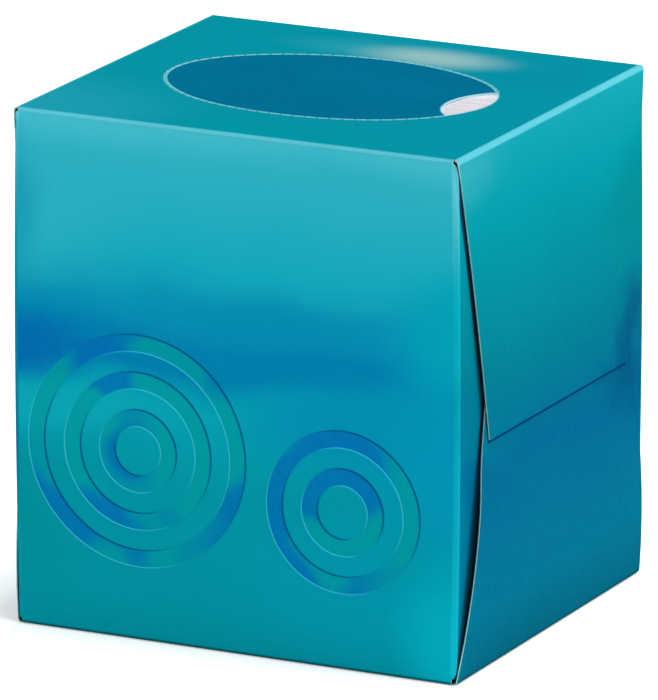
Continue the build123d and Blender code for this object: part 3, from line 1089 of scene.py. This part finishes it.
def glue_material():
    """Dried glue, slightly amber and uneven."""
    graph = Graph("dried_glue", Specular_IOR_Level=0.4)
    cloud = graph.noise(graph.place, 500.0, 3.0, 0.6)
    graph.paint(graph.mix(graph.ramp(cloud, 0.35, 0.65), srgb(206, 190, 150), srgb(230, 220, 190)))
    graph.dull(graph.ramp(cloud, 0.3, 0.7, 0.35, 0.55))
    graph.bump(cloud, 0.0001, 0.6)
    return graph.material


def dress():
    """Makes the pieces, and dresses the CAD's own glue nodes."""
    board_set = [print_material(), inner_material(), edge_material()]
    pieces = [
        (carton_piece(board_set), "carton", "printed_board"),
        (film_piece(film_material()), "dispensing_film", "clear_film"),
        (tissue_piece(tissue_material()), "tissue_stack", "tissue_paper"),
    ]
    for piece, node, slot in pieces:
        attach(piece, "root")
        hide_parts(node)
    glue = glue_material()
    for node in ("seam_glue", "end_flap_glue"):
        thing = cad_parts[node]
        if not thing.material_slots:
            thing.data.materials.append(glue)
        for slot in thing.material_slots:
            slot.material = glue


# Camera at the photograph's place, and its aim at the box's middle and a little beside it, and the
# height that the lights are aimed at, in metres
light_aim_height = 0.06
camera_aim_height = 0.062
camera_turn = radians(26.2197)
camera_lift = radians(15.5344)
camera_distance = 2.39966
camera_aim_right = -0.000494
camera_aim_up = -0.001172
camera_lens = 524.106


def place_camera():
    """A long lens, as far away as the photograph's perspective says."""
    level = Vector((sin(camera_turn), -cos(camera_turn), 0))
    back = level * cos(camera_lift) + Vector((0, 0, sin(camera_lift)))
    right = Vector((cos(camera_turn), sin(camera_turn), 0))
    up = back.cross(right)
    aim = Vector((0, 0, camera_aim_height)) + right * camera_aim_right + up * camera_aim_up
    data = bpy.data.cameras.new("camera")
    data.sensor_fit = "VERTICAL"
    data.sensor_height = 36
    data.lens = camera_lens
    data.clip_start = 0.1
    data.clip_end = 50
    camera = bpy.data.objects.new("camera", data)
    turn = Matrix((right, up, back)).transposed().to_4x4()
    camera.matrix_world = Matrix.Translation(aim + back * camera_distance) @ turn
    bpy.context.scene.collection.objects.link(camera)
    bpy.context.scene.camera = camera


def soft_light(name, place, size, power):
    """A square studio light aimed at the box."""
    data = bpy.data.lights.new(name, "AREA")
    data.size = size
    data.energy = power
    lamp = bpy.data.objects.new(name, data)
    lamp.location = place
    back = Vector(place) - Vector((0, 0, light_aim_height))
    lamp.rotation_euler = back.to_track_quat("Z", "Y").to_euler()
    bpy.context.scene.collection.objects.link(lamp)


def pale_floor():
    """A plain pale floor that glows a little, so that its shadows stay soft."""
    mesh = bpy.data.meshes.new("floor")
    mesh.from_pydata([(-8, -8, 0), (8, -8, 0), (8, 8, 0), (-8, 8, 0)], [], [(0, 1, 2, 3)])
    floor = bpy.data.objects.new("floor", mesh)
    white = (1, 1, 1, 1)
    paper = Graph("pale_floor", Roughness=0.9, Specular_IOR_Level=0.0, Emission_Color=white,
                  Emission_Strength=0.3)
    cloud = paper.noise(paper.place, 3.0, 2.0)
    paper.paint(paper.mix(cloud, (0.93, 0.93, 0.93, 1), (0.95, 0.95, 0.95, 1)))
    mesh.materials.append(paper.material)
    bpy.context.scene.collection.objects.link(floor)


def studio():
    """A pale surround, and lights above, low at the front and the right side, and behind."""
    scene = bpy.context.scene
    scene.view_settings.view_transform = "Standard"
    scene.view_settings.look = "None"
    world = bpy.data.worlds.new("surround")
    world.use_nodes = True
    background = world.node_tree.nodes["Background"].inputs
    background["Color"].default_value = (1, 1, 1, 1)
    background["Strength"].default_value = 0.25
    scene.world = world
    soft_light("key", (0.5, 0.0, 2.6), 0.8, 54)
    soft_light("low side", (2.2, 0.3, 0.7), 0.5, 26)
    soft_light("low front", (-1.5, -2.0, 0.5), 0.8, 30)
    soft_light("back", (-0.2, 3.0, 1.5), 1.2, 45)
    pale_floor()


dress()
place_camera()
studio()
